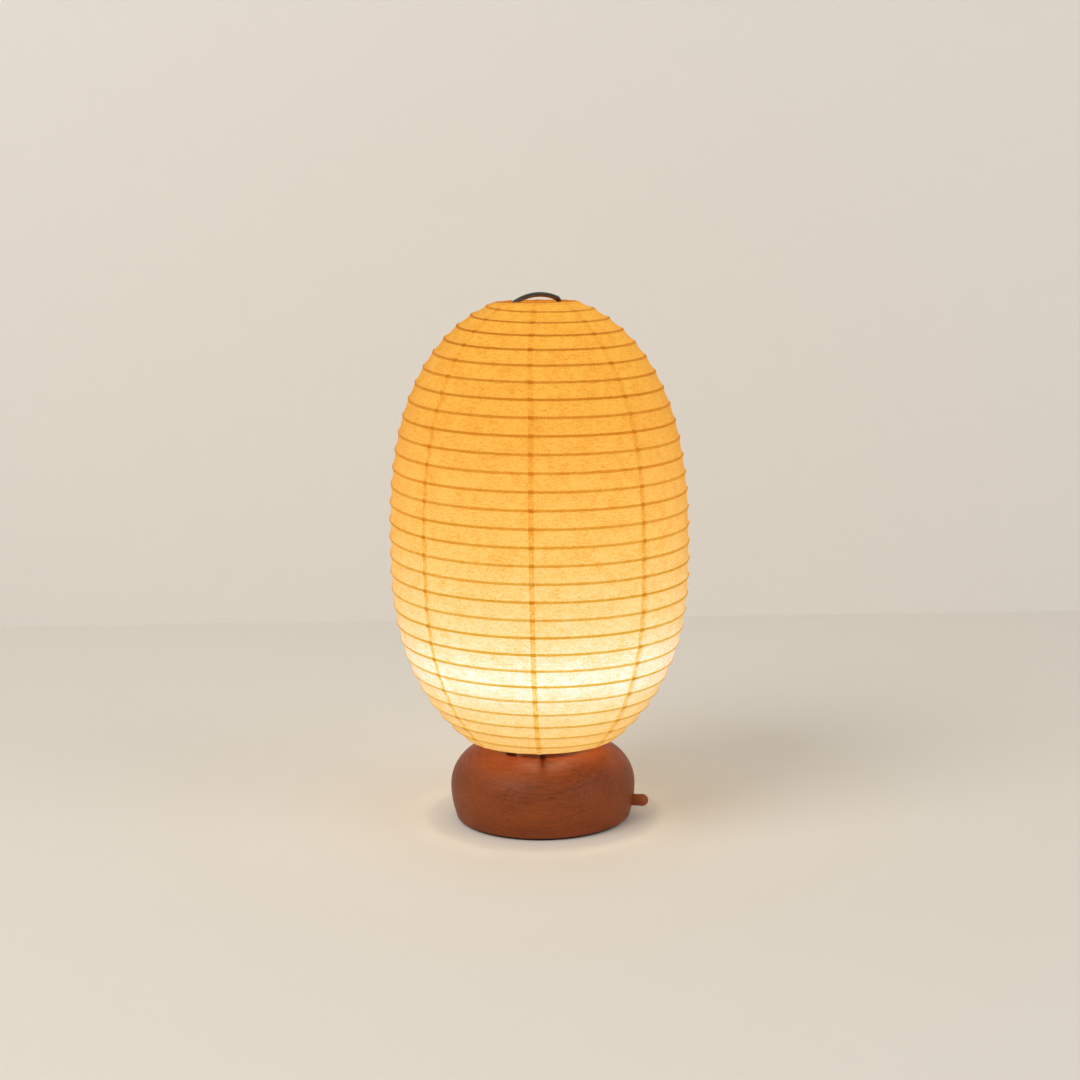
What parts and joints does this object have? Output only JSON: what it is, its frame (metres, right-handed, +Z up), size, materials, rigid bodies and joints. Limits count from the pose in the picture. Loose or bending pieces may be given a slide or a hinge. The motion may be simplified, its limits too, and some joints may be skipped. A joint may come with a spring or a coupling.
{
  "type": "table lamp",
  "caption": "Table lamp with an egg-shaped ribbed paper lantern on a round turned wooden base, with a wire bow over the mouth and a side dimmer knob",
  "frame": {"origin": "middle of the underside of the felt pad, on the table", "axes": "+Z up along the lantern's axis, +Y towards the cord inlet at the rear, +X to the lamp's right, from which the dimmer knob stands 10 degrees forward"},
  "size_m": [0.1804, 0.1804, 0.3212],
  "materials": {
    "washi_paper": "matt",
    "bamboo": "matt",
    "turned_wood": "satin oil",
    "felt": "matt",
    "plate_steel": "satin",
    "zinc_steel": "zinc plated",
    "black_steel": "satin",
    "chrome_wire": "polished",
    "cap_metal": "rolled",
    "brass": "plain",
    "black_rubber": "matt",
    "black_plastic": "moulded",
    "white_plastic": "moulded",
    "white_ceramic": "glazed",
    "opal_globe": "opal",
    "brown_lead": "insulated wire",
    "blue_lead": "insulated wire"
  },
  "bodies": {
    "base": {"foot_pad": "felt", "bottom_plate": "plate_steel", "plate_screws": "zinc_steel", "base_body": "turned_wood", "cord_grommet": "black_rubber", "terminal_block": "white_plastic", "terminal_screws": "zinc_steel", "block_screw": "zinc_steel", "dimmer_bracket": "zinc_steel", "bracket_screws": "zinc_steel", "dimmer_body": "black_plastic", "dimmer_washer": "zinc_steel", "dimmer_nut": "zinc_steel", "feed_lead": "brown_lead", "switched_lead": "blue_lead", "return_lead": "blue_lead", "nipple": "brass", "nipple_washer": "zinc_steel", "nipple_nut": "zinc_steel", "shade_carrier": "black_steel", "leg_sockets": "black_steel", "holder_shell": "black_plastic", "holder_core": "white_ceramic", "screw_shell": "brass", "centre_contact": "brass"},
    "knob": {"knob": "turned_wood", "dimmer_shaft": "zinc_steel"},
    "bulb": {"bulb_cap": "cap_metal", "cap_insulator": "black_plastic", "cap_contact": "brass", "bulb_housing": "white_plastic", "led_board": "white_plastic", "bulb_globe": "opal_globe"},
    "shade": {"harp": "chrome_wire", "harp_stops": "chrome_wire", "mouth_ring": "bamboo", "foot_ring": "black_steel", "bamboo_strand": "bamboo", "paper_panel_1": "washi_paper", "paper_panel_2": "washi_paper", "paper_panel_3": "washi_paper", "paper_panel_4": "washi_paper", "paper_panel_5": "washi_paper", "paper_panel_6": "washi_paper", "paper_panel_7": "washi_paper", "paper_panel_8": "washi_paper"}
  },
  "joints": [
    {"name": "knob_turn", "type": "hinge", "parent": "base", "child": "knob", "pos_m": [0.04924, -0.00868, 0.0112], "axis": [0.9848, -0.1736, 0], "range_deg": [-150, 150]},
    {"name": "bulb_turn", "type": "hinge", "parent": "base", "child": "bulb", "pos_m": [0, 0, 0.08], "axis": [0, 0, 1], "continuous": true},
    {"name": "shade_lift", "type": "slide", "parent": "base", "child": "shade", "axis": [0, 0, 1], "range_m": [0, 0.28]}
  ]
}
